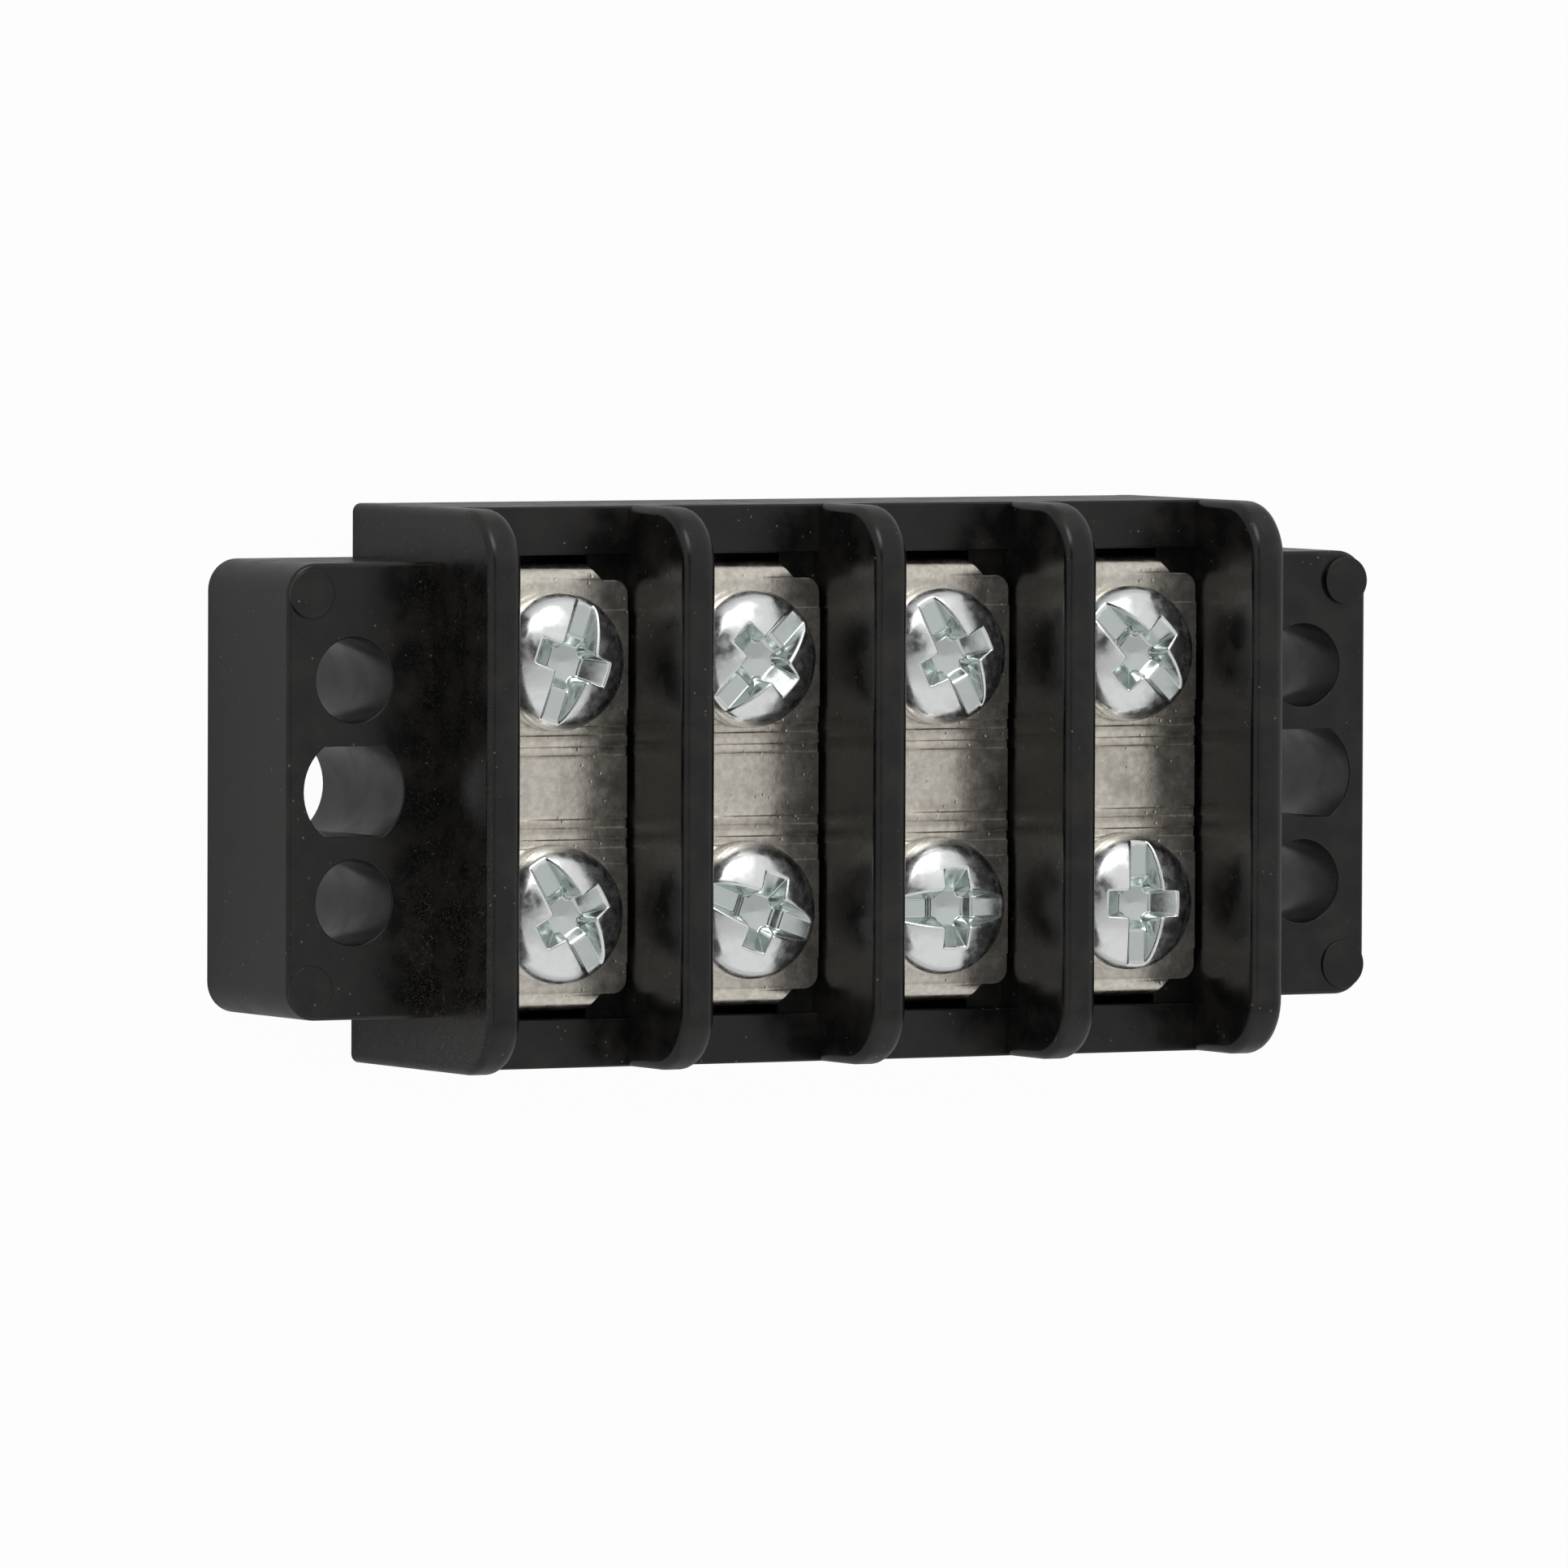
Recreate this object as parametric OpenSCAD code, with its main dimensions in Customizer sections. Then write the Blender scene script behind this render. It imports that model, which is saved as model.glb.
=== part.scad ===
// Barrier terminal strip: four circuits, double row, two drilled mounting ears.
// Millimetres. X runs along the strip, Y across it, Z up out of the mounting face.
// The origin is the middle of the mounting face.

/* [Housing] */
// Distance between the middles of neighbouring circuits
pitch = 11.11; // [10:0.01:14]
// Thickness of each barrier wall
barrier_t = 2.0; // [1.6:0.1:2.6]
// Width of the body across the circuits
body_w = 28.6; // [26:0.1:34]
// Height of the barriers above the mounting face
barrier_h = 15.2; // [14:0.1:20]
// Height of the base and of its two lips above the mounting face
base_h = 9.0; // [8.6:0.1:10]
// Radius of a barrier's two upper corners
barrier_corner_r = 3.0; // [2:0.1:4]
// Rounding along every free edge of a barrier
barrier_edge_r = 0.5; // [0.2:0.05:0.7]
// Width of the lip that the wires cross, at each side of the body
lip_w = 2.5; // [2:0.1:2.8]
// Depth of the pocket that a terminal plate lies in, below the lip
pocket_depth = 0.55; // [0.3:0.05:0.9]

/* [Mounting ears] */
// Length of each ear beyond the end barrier
ear_l = 8.25; // [7.5:0.05:12]
// Width of each ear
ear_w = 23.1; // [20:0.1:26]
// Height of each ear
ear_h = 9.0; // [6:0.1:12]
// Rounding of an ear's two outer upright corners
ear_corner_r = 1.6; // [0.8:0.1:2.5]
// Distance from an ear's outer end to the line of its three holes
hole_inset = 3.75; // [3.6:0.05:4.2]
// Distance between the two round holes of an ear
side_hole_spacing = 11.24; // [11:0.02:12.5]
// Diameter of the round holes
side_hole_d = 4.4; // [3.6:0.1:4.8]
// Diameter of the middle hole, over its two arcs
middle_hole_d = 5.7; // [5:0.1:5.9]
// Distance between the two flats of the middle hole
middle_hole_flats = 4.66; // [4.2:0.02:4.8]
// Diameter of the round ejector marks in the ears' corners
ejector_mark_d = 2.5; // [2:0.1:2.6]
// Distance from an ejector mark's middle to the ear's outer end
ejector_inset = 1.3; // [1.3:0.05:2]
// Distance from an ejector mark's middle to the ear's side
ejector_side_inset = 1.55; // [1.3:0.05:2]
// Height that the ejector marks stand above the ear
ejector_mark_h = 0.15; // [0.05:0.01:0.3]

/* [Terminal plates] */
// Thickness of a terminal plate
plate_t = 1.0; // [0.7:0.05:1.3]
// Gap between a plate and the barrier at each side of it
plate_gap = 0.2; // [0.05:0.05:0.5]
// Rounding of the four corners of the full-width part
shoulder_r = 0.8; // [0.4:0.1:1.2]
// Width of the tongue at each end of a plate
tongue_w = 4.8; // [3.5:0.1:6]
// Gap between the outer face of a bent tongue and the lip beside it
tongue_end_gap = 0.45; // [0.2:0.05:0.8]
// Distance that the outer face of a tongue stands beyond the plate's shoulders
tongue_reach = 0.8; // [0.6:0.05:1.2]
// Outer bend radius of a tongue
bend_r = 0.9; // [0.3:0.05:0.95]
// Depth that a bent tongue reaches below the top of its plate
tongue_drop = 5.0; // [3:0.1:6]
// Length of the raised pad under each screw head
pad_l = 5.1; // [4.4:0.1:5.4]
// Height of the pads above the rest of a plate
pad_h = 0.1; // [0.08:0.01:0.2]
// Width of a pressed groove across a plate
groove_w = 0.38; // [0.2:0.02:0.6]
// Depth of a pressed groove
groove_depth = 0.06; // [0.02:0.01:0.2]
// Distance from a plate's middle to its inner grooves
inner_groove_y = 1.85; // [1.2:0.05:2]
// Distance from a plate's middle to its outer grooves
outer_groove_y = 2.88; // [2.6:0.02:3]

/* [Terminal screws] */
// Distance from the outer face of a tongue to the middle of the screw beside it
screw_inset = 4.9; // [4.5:0.05:5.2]
// Diameter of a screw head
head_d = 7.1; // [6:0.1:7.2]
// Height of a screw head
head_h = 2.6; // [2.4:0.1:3]
// Height of the straight rim of a screw head
head_rim_h = 1.4; // [0.8:0.05:1.6]
// Thread diameter of a screw
screw_d = 3.5; // [3:0.1:4]
// Length of a screw under its head
screw_l = 6.35; // [5:0.05:7]
// Width of the driving slot
slot_w = 1.2; // [0.8:0.05:1.7]
// Depth of the driving slot at the top of the head
slot_depth = 1.1; // [0.6:0.05:1.4]
// Span of the cross recess
cross_span = 4.1; // [3:0.1:4.4]
// Width of a wing of the cross recess
cross_w = 1.1; // [0.7:0.05:1.3]
// Depth of the cross recess at the top of the head
cross_depth = 1.6; // [1:0.1:1.9]

/* [Clearances] */
// Gap round the screw's thread in its plate
thread_clearance = 0.05; // [0.02:0.01:0.08]
// Gap round the screw in its well in the base
well_clearance = 0.45; // [0.2:0.05:0.6]
// Free depth of a well below the end of its screw
well_free_depth = 0.75; // [0.3:0.05:1.5]
// Gap round a bent tongue in its slot, and below its tip
tongue_clearance = 0.1; // [0.05:0.01:0.3]

/* [Hidden] */
$fn = 48;

circuits = 4;
// Angle at which each screw stopped when it was driven in, by row and circuit
slot_angles_a = [71, 45, 117, 135];
slot_angles_b = [121, 160, 0, 89];

// Cuts reach this far past the faces that they open
cut = 1;

body_l = circuits * pitch + barrier_t;
strip_l = body_l + 2 * ear_l;
floor_z = base_h - pocket_depth;
plate_top = floor_z + plate_t;
pad_top = plate_top + pad_h;
plate_w = pitch - barrier_t - 2 * plate_gap;
pocket_w = pitch - barrier_t;
pocket_l = body_w - 2 * lip_w;
plate_l = pocket_l - 2 * tongue_end_gap;
shoulder_l = plate_l - 2 * tongue_reach;
screw_spacing = plate_l - 2 * screw_inset;
slot_floor = plate_top - tongue_drop - tongue_clearance;
tapped_d = screw_d + 2 * thread_clearance;
well_d = screw_d + 2 * well_clearance;
well_floor = pad_top - screw_l - well_free_depth;
dome_h = head_h - head_rim_h;
dome_r = (pow(head_d / 2, 2) + pow(dome_h, 2)) / (2 * dome_h);

function circuit_x(i) = (i - (circuits + 1) / 2) * pitch;

// ---- Housing -----------------------------------------------------------------

// Upright outline of a barrier: square feet, two rounded upper corners
module wall_outline(w, h, r) {
    translate([-w / 2, 0]) square([w, h - r]);
    translate([-w / 2 + r, 0]) square([w - 2 * r, h]);
    for (side = [-1, 1])
        translate([side * (w / 2 - r), h - r]) circle(r = r);
}

// A flat wall across the strip, with that outline
module wall(t, w, h, r) {
    rotate([90, 0, 90])
        linear_extrude(height = t, center = true) wall_outline(w, h, r);
}

// One barrier, with every free edge rounded
module barrier() {
    e = barrier_edge_r;
    wall(barrier_t - 2 * e, body_w, barrier_h, barrier_corner_r);
    wall(barrier_t, body_w - 2 * e, barrier_h - e, barrier_corner_r - e);
    for (face = [-1, 1]) translate([face * (barrier_t / 2 - e), 0, 0]) {
        translate([0, 0, barrier_h - e]) rotate([90, 0, 0])
            cylinder(r = e, h = body_w - 2 * barrier_corner_r, center = true);
        for (side = [-1, 1]) {
            translate([0, side * (body_w / 2 - e), 0])
                cylinder(r = e, h = barrier_h - barrier_corner_r);
            translate([0, side * (body_w / 2 - barrier_corner_r), barrier_h - barrier_corner_r])
                rotate([0, 90, 0]) rotate_extrude()
                    translate([barrier_corner_r - e, 0]) circle(r = e);
        }
    }
}

// Plan outline of both ears as one bar that runs through the body
module ear_outline() {
    r = ear_corner_r;
    square([strip_l - 2 * r, ear_w], center = true);
    square([strip_l, ear_w - 2 * r], center = true);
    for (end = [-1, 1], side = [-1, 1])
        translate([end * (strip_l / 2 - r), side * (ear_w / 2 - r)]) circle(r = r);
}

// Middle hole of an ear: round, with two flats along the strip
module middle_hole() {
    intersection() {
        cylinder(d = middle_hole_d, h = ear_h + 2 * cut);
        translate([-middle_hole_d / 2 - cut, -middle_hole_flats / 2, -cut])
            cube([middle_hole_d + 2 * cut, middle_hole_flats, ear_h + 4 * cut]);
    }
}

// The three through holes of one ear
module ear_cuts() {
    translate([strip_l / 2 - hole_inset, 0, -cut]) {
        middle_hole();
        for (side = [-1, 1]) translate([0, side * side_hole_spacing / 2, 0])
            cylinder(d = side_hole_d, h = ear_h + 2 * cut);
    }
}

// The two raised ejector marks of one ear
module ejector_marks() {
    for (side = [-1, 1])
        translate([strip_l / 2 - ejector_inset, side * (ear_w / 2 - ejector_side_inset), ear_h - cut])
            cylinder(d = ejector_mark_d, h = cut + ejector_mark_h);
}

// Pocket, tongue slots and screw wells of one circuit
module circuit_cuts() {
    slot_y = plate_l / 2 - plate_t - tongue_clearance;
    slot_x = tongue_w / 2 + tongue_clearance;
    translate([-pocket_w / 2, -pocket_l / 2, floor_z])
        cube([pocket_w, pocket_l, barrier_h]);
    for (side = [0, 1]) mirror([0, side, 0]) {
        translate([-slot_x, slot_y, slot_floor])
            cube([2 * slot_x, pocket_l / 2 - slot_y, barrier_h]);
        translate([0, screw_spacing / 2, well_floor])
            cylinder(d = well_d, h = barrier_h);
    }
}

module housing() {
    color([0.17, 0.17, 0.175]) difference() {
        union() {
            translate([-body_l / 2 + barrier_t / 2, -body_w / 2, 0])
                cube([body_l - barrier_t, body_w, base_h]);
            linear_extrude(height = ear_h) ear_outline();
            for (end = [0, 1]) mirror([end, 0, 0]) ejector_marks();
            for (i = [0 : circuits])
                translate([(i - circuits / 2) * pitch, 0, 0]) barrier();
        }
        for (end = [0, 1]) mirror([end, 0, 0]) ear_cuts();
        for (i = [1 : circuits]) translate([circuit_x(i), 0, 0]) circuit_cuts();
    }
}

// ---- Terminal plates ---------------------------------------------------------

// Plan outline of a flat plate: rounded shoulders and a tongue at each end
module plate_outline() {
    r = shoulder_r;
    square([plate_w - 2 * r, shoulder_l], center = true);
    square([plate_w, shoulder_l - 2 * r], center = true);
    for (across = [-1, 1], end = [-1, 1])
        translate([across * (plate_w / 2 - r), end * (shoulder_l / 2 - r)]) circle(r = r);
    square([tongue_w, plate_l], center = true);
}

// Side view of a pressed groove: a flat bottom and two sloping sides
module groove_side() {
    slope_w = groove_w / 4;
    polygon([[-groove_w / 2 - slope_w, groove_depth], [-groove_w / 2 + slope_w, -groove_depth],
             [groove_w / 2 - slope_w, -groove_depth], [groove_w / 2 + slope_w, groove_depth]]);
}

// Side view of the flat strip, with a raised pad and two grooves at each side of its middle
module strip_side() {
    difference() {
        translate([-shoulder_l / 2, -plate_t]) square([shoulder_l, plate_t]);
        for (side = [-1, 1], y = [inner_groove_y, outer_groove_y])
            translate([side * y, 0]) groove_side();
    }
    for (side = [-1, 1])
        translate([side * screw_spacing / 2 - pad_l / 2, -plate_t / 2])
            square([pad_l, plate_t / 2 + pad_h]);
}

// Side view of one tongue: its flat root, rounded bend and leg
module tongue_side() {
    leg_y = plate_l / 2 - plate_t;
    translate([leg_y - plate_t, -plate_t]) square([2 * plate_t - bend_r, plate_t]);
    translate([leg_y, -tongue_drop]) square([plate_t, tongue_drop - bend_r]);
    translate([plate_l / 2 - bend_r, -bend_r]) intersection() {
        circle(r = bend_r);
        square(bend_r);
    }
}

module plate(i) {
    color([0.72, 0.71, 0.67]) translate([circuit_x(i), 0, plate_top]) difference() {
        union() {
            intersection() {
                rotate([90, 0, 90]) linear_extrude(height = plate_w + cut, center = true)
                    strip_side();
                translate([0, 0, -plate_t - cut])
                    linear_extrude(height = plate_t + 2 * cut) plate_outline();
            }
            for (end = [0, 1]) mirror([0, end, 0]) rotate([90, 0, 90])
                linear_extrude(height = tongue_w, center = true) tongue_side();
        }
        for (side = [-1, 1]) translate([0, side * screw_spacing / 2, -plate_t - cut])
            cylinder(d = tapped_d, h = plate_t + pad_h + 2 * cut);
    }
}

// ---- Terminal screws ---------------------------------------------------------

// Domed head on a straight rim, standing on z = 0
module screw_head() {
    intersection() {
        cylinder(d = head_d, h = head_h);
        translate([0, 0, head_h - dome_r]) sphere(r = dome_r);
    }
}

// Driving slot across the head, with a cross recess in its middle
module drive_cuts() {
    translate([-head_d, -slot_w / 2, head_h - slot_depth])
        cube([2 * head_d, slot_w, head_h]);
    for (turn = [0, 90]) rotate([0, 0, turn])
        translate([-cross_span / 2, -cross_w / 2, head_h - cross_depth])
            cube([cross_span, cross_w, head_h]);
}

// Screw of circuit i, in row side +1 or -1, with its slot at that angle
module screw(i, side, slot_angle) {
    color([0.80, 0.82, 0.84])
        translate([circuit_x(i), side * screw_spacing / 2, pad_top]) rotate([0, 0, slot_angle]) {
            difference() {
                screw_head();
                drive_cuts();
            }
            translate([0, 0, -screw_l]) cylinder(d = screw_d, h = screw_l + head_rim_h);
        }
}

housing();
plate(1);  // plate_1
plate(2);  // plate_2
plate(3);  // plate_3
plate(4);  // plate_4
screw(1, 1, slot_angles_a[0]);  // screw_a1
screw(2, 1, slot_angles_a[1]);  // screw_a2
screw(3, 1, slot_angles_a[2]);  // screw_a3
screw(4, 1, slot_angles_a[3]);  // screw_a4
screw(1, -1, slot_angles_b[0]);  // screw_b1
screw(2, -1, slot_angles_b[1]);  // screw_b2
screw(3, -1, slot_angles_b[2]);  // screw_b3
screw(4, -1, slot_angles_b[3]);  // screw_b4
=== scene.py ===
"""Four-circuit barrier terminal strip: fine shapes, finishes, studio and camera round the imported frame.

Lengths are written in millimetres, and MM turns them to metres where a mesh or an object is made.
"""

import math

import bmesh
import bpy
import numpy as np
from mathutils import Matrix, Vector


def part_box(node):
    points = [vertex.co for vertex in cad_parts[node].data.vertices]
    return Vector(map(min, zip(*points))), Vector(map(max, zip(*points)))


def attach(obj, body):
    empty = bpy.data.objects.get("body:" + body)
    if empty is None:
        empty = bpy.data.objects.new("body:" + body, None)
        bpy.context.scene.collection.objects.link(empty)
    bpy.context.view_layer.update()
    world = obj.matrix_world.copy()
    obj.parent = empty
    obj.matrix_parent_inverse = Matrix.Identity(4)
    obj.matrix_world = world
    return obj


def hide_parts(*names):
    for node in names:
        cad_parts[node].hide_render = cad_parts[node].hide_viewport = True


MM = 0.001
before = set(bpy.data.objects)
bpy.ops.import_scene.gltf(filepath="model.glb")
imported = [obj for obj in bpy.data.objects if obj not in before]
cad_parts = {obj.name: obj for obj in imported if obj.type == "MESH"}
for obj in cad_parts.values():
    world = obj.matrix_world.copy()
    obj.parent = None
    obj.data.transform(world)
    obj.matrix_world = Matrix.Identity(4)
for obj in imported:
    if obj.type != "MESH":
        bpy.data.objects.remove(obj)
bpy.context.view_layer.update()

# ---- Sizes -------------------------------------------------------------------

CIRCUITS = 4
ROWS = ("a", "b")
SIDES = (-1, 1)
SQUARE = (0,) * 4


def box_mm(node):
    """Lowest and highest corner of a CAD node, in millimetres."""
    low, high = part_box(node)
    return low / MM, high / MM


housing_low, housing_high = box_mm("housing")
plate_boxes = [box_mm(f"plate_{i + 1}") for i in range(CIRCUITS)]
circuit_x = [(low.x + high.x) / 2 for low, high in plate_boxes]
PITCH = circuit_x[1] - circuit_x[0]
PLATE_HALF_W = (plate_boxes[0][1].x - plate_boxes[0][0].x) / 2
PLATE_HALF_L = plate_boxes[0][1].y
PLATE_LOW = plate_boxes[0][0].z
PAD_TOP = plate_boxes[0][1].z

# Housing
STRIP_HALF_L = housing_high.x
BODY_HALF_W = housing_high.y
BARRIER_H = housing_high.z
BARRIER_T = 2.0
BARRIER_CORNER_R = 3.0
BARRIER_LEFT_EDGE_R = 0.45
BARRIER_RIGHT_EDGE_R = 0.8
BASE_H = 9.0
CUT_ABOVE = BASE_H + 1
BELOW = -1
LIP_W = 2.5
POCKET_FLOOR = 8.45
INNER_BARRIER_FOOT = 3
OVERLAP = 0.6
POCKET_OVERLAP = 0.3
COPLANAR_STEP = 0.01
SMALL_EDGE_R = 0.12
EAR_HALF_W = 11.55
EAR_CORNER_R = 1.6
EAR_EDGE_R = 0.25
HOLE_INSET = 3.75
SIDE_HOLE_Y = 5.62
SIDE_HOLE_R = 2.17
MIDDLE_HOLE_R = 2.83
MIDDLE_HOLE_FLAT_Y = 2.29
HOLE_FLARE = 0.06
WITNESS_RING_R = 2.93
WITNESS_RING_DEPTH = 0.04
WELL_R = 2.2
WELL_FLOOR = 2.45
SCREW_Y = 6.45
TONGUE_CLEARANCE = 0.1
EJECTOR_R = 1.24
EJECTOR_INSET = 1.3
EJECTOR_SIDE_INSET = 1.55
EJECTOR_HEIGHTS = {(-1, -1): 0.07, (-1, 1): 0.2, (1, -1): 0.12, (1, 1): 0.28}
EJECTOR_ROOT = 0.5
EJECTOR_EDGE_R = 0.05
BODY_HALF_L = CIRCUITS * PITCH / 2 + BARRIER_T / 2
barrier_x = [circuit_x[0] + (k - 0.5) * PITCH for k in range(CIRCUITS + 1)]

# Terminal plates
PLATE_T = 1.0
PAD_H = 0.1
PLATE_TOP = PAD_TOP - PAD_H
TONGUE_HALF_W = 2.4
TONGUE_ROOT_HALF_W = 2.8
TONGUE_FLARE_L = 0.75
TONGUE_FILLET_R = 0.15
SHOULDER_Y = 10.55
SHOULDER_R = 0.8
BEND_R = 1.05
SHEARED_EDGE_R = 0.07
LOWER_EDGE_R = 0.04
GROOVE_Y = (1.85, 2.88)
# (offset from the groove's middle, height) across one groove and the ridges that pressing threw up
GROOVE_SECTION = ((-0.4, 0), (-0.27, 0.03), (-0.19, -0.09), (-0.05, -0.075),
                  (0.17, -0.1), (0.25, 0.035), (0.4, 0))
PAD_Y = (3.9, 9.0)
PAD_FOOT = 0.04
PAD_SHOULDER = 0.03
TAPPED_R = 1.8
TAPPED_CUT = (5, 12)

# Terminal screws
HEAD_R = 3.55
HEAD_H = 2.6
RIM_H = 1.4
SLOT_HALF_W = 0.475
SLOT_DRAFT = 0.5
SLOT_FLOOR = 1.5
CROSS_REACH = 2.05
CROSS_TOP = 2.2
CROSS_HALF_W = 0.5
CROSS_FLOOR = 0.95
CROSS_DRAFT = 0.12
CROSS_CONE = 0.12
RIM_BLEND = 0.8
SEAT_BLEND = 0.2
SLOT_BLEND = 0.08
WING_BLEND = 0.1
QUADRANT_BLEND = 0.5
SLOT_LIP_BLEND = 0.13
CROSS_LIP_BLEND = 0.12
SLOT_ANGLES = {"a": (71, 45, 117, 135), "b": (121, 160, 0, 89)}
THREAD_PITCH = 0.794
THREAD_DEPTH = 0.42
SCREW_L = 6.35
SCREW_R = 1.75
SHANK_IN_HEAD = 0.3
TIP_CHAMFER = 0.7
TIP_R = SCREW_R - 0.6
HEAD_MESH_STEP = 0.07
RECESS_SKIN = 0.16


# Room: the direction of its dark spot, the spot's outer and inner radius in degrees, and radiances
DARK_SPOT = (-0.35, 0.21, 0.91)
SPOT_RADII = (16, 13)
SPOT_RADIANCE = 0.04
ROOM_RADIANCE = 0.66
BAND_RADIANCE = 0.46


# ---- Mesh tools --------------------------------------------------------------

def rounded_rectangle(x0, x1, y0, y1, radii, steps=6):
    """Corner points, anticlockwise from the lower left; radii are those of the four corners."""
    corners = ((x0, y0, 1, 1, 180), (x1, y0, -1, 1, 270), (x1, y1, -1, -1, 0), (x0, y1, 1, -1, 90))
    points = []
    for (x, y, inward_x, inward_y, start), r in zip(corners, radii):
        if r == 0:
            points.append((x, y))
            continue
        for k in range(steps + 1):
            a = math.radians(start + 90 * k / steps)
            points.append((x + inward_x * r + r * math.cos(a), y + inward_y * r + r * math.sin(a)))
    return points


def arc(x, y, r, start, end, steps):
    """Points on an arc, from the start angle to the end angle in degrees."""
    angles = np.radians(np.linspace(start, end, steps + 1))
    return [(x + r * math.cos(a), y + r * math.sin(a)) for a in angles]


def inset_ring(outline, inset):
    """The outline moved inwards by that distance along its corner normals."""
    points = np.array(outline, float)
    edges = np.roll(points, -1, 0) - points
    edges /= np.linalg.norm(edges, axis=1)[:, None]
    after = np.stack([edges[:, 1], -edges[:, 0]], 1)
    before = np.roll(after, 1, 0)
    mitre = (before + after) / (1 + (before * after).sum(1))[:, None]
    return points - inset * mitre


def levels(low, high, r_low=0.0, r_high=0.0, steps=4):
    """(height, inset) pairs of a solid with rounded rims; a negative radius flares a cutter's rim."""
    turn = [math.radians(90 * k / steps) for k in range(steps + 1)]
    rows = [(low, 0.0)] if r_low == 0 else [
        (low + abs(r_low) * (1 - math.sin(a)), r_low * (1 - math.cos(a))) for a in reversed(turn)]
    rows += [(high, 0.0)] if r_high == 0 else [
        (high - abs(r_high) * (1 - math.sin(a)), r_high * (1 - math.cos(a))) for a in turn]
    return rows


def slab(outline, rows, place=Matrix()):
    """Corners and faces of a closed solid whose section at each (height, inset) is the inset outline."""
    count = len(outline)
    points = [place @ Vector((x, y, height)) for height, inset in rows for x, y in inset_ring(outline, inset)]
    faces = [tuple(reversed(range(count))), tuple(range(len(points) - count, len(points)))]
    for start in range(0, len(points) - count, count):
        for i in range(count):
            j = (i + 1) % count
            faces.append((start + i, start + j, start + count + j, start + count + i))
    return points, faces


def make_solid(name, parts):
    """One object from several (corners, faces) solids, still in millimetres."""
    points, faces = [], []
    for part_points, part_faces in parts:
        faces += [tuple(i + len(points) for i in face) for face in part_faces]
        points += part_points
    mesh = bpy.data.meshes.new(name)
    mesh.from_pydata(points, [], faces)
    piece = bpy.data.objects.new(name, mesh)
    bpy.context.scene.collection.objects.link(piece)
    return piece


def bake(piece):
    """Applies the modifiers."""
    graph = bpy.context.evaluated_depsgraph_get()
    mesh = bpy.data.meshes.new_from_object(piece.evaluated_get(graph))
    old = piece.data
    piece.modifiers.clear()
    piece.data = mesh
    mesh.name = piece.name
    bpy.data.meshes.remove(old)


def combine(piece, operation, parts):
    """Joins or cuts the piece with solids, in one exact boolean."""
    tool = make_solid("tool", parts)
    modifier = piece.modifiers.new(operation, "BOOLEAN")
    modifier.operation = operation
    modifier.solver = "EXACT"
    modifier.object = tool
    bake(piece)
    bpy.data.objects.remove(tool)


def finish_mesh(piece, material, angle=32):
    """Scales the mesh to metres, shades it smooth but for its sharp edges, and gives it its material."""
    mesh = piece.data
    mesh.transform(Matrix.Scale(MM, 4))
    mesh.polygons.foreach_set("use_smooth", [True] * len(mesh.polygons))
    mesh.set_sharp_from_angle(angle=math.radians(angle))
    modifier = piece.modifiers.new("flats", "WEIGHTED_NORMAL")
    modifier.keep_sharp = True
    modifier.weight = 90
    bake(piece)
    piece.data.materials.clear()
    piece.data.materials.append(material)


# ---- Material tools ----------------------------------------------------------

def srgb(code):
    """Linear colour of an sRGB hex code."""
    channels = [int(code[i:i + 2], 16) / 255 for i in (1, 3, 5)]
    return tuple(c / 12.92 if c <= 0.04045 else ((c + 0.055) / 1.055) ** 2.4 for c in channels) + (1.0,)


def add(tree, kind, inputs=None, **settings):
    """Adds a shader node; an input value that is a socket is linked, any other is set.

    A Mix node takes its share at 0, the ends of a number at 2 and 3, and those of a colour at 6 and 7.
    """
    made = tree.nodes.new("ShaderNode" + kind)
    for name, value in settings.items():
        setattr(made, name, value)
    for key, value in (inputs or {}).items():
        if isinstance(value, bpy.types.NodeSocket):
            tree.links.new(value, made.inputs[key])
        else:
            made.inputs[key].default_value = value
    return made


def start_material(name):
    """A material with an empty tree, the tree, and the place in millimetres as a socket."""
    material = bpy.data.materials.new(name)
    material.use_nodes = True
    tree = material.node_tree
    tree.nodes.clear()
    place = add(tree, "TexCoord")
    scaled = add(tree, "VectorMath", {0: place.outputs["Object"], 1: (1 / MM,) * 3}, operation="MULTIPLY")
    return material, tree, scaled.outputs[0]


def ramp(tree, value, low, high, bottom=0.0, top=1.0):
    """Maps low..high to bottom..top, held outside."""
    return add(tree, "MapRange", {"Value": value, "From Min": low, "From Max": high,
                                  "To Min": bottom, "To Max": top}).outputs["Result"]


def noise(tree, place, size, detail=2.0):
    """Noise whose blotches are about size millimetres across."""
    return add(tree, "TexNoise", {"Vector": place, "Scale": 1 / size, "Detail": detail}).outputs[0]


# ---- Materials ---------------------------------------------------------------

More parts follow.
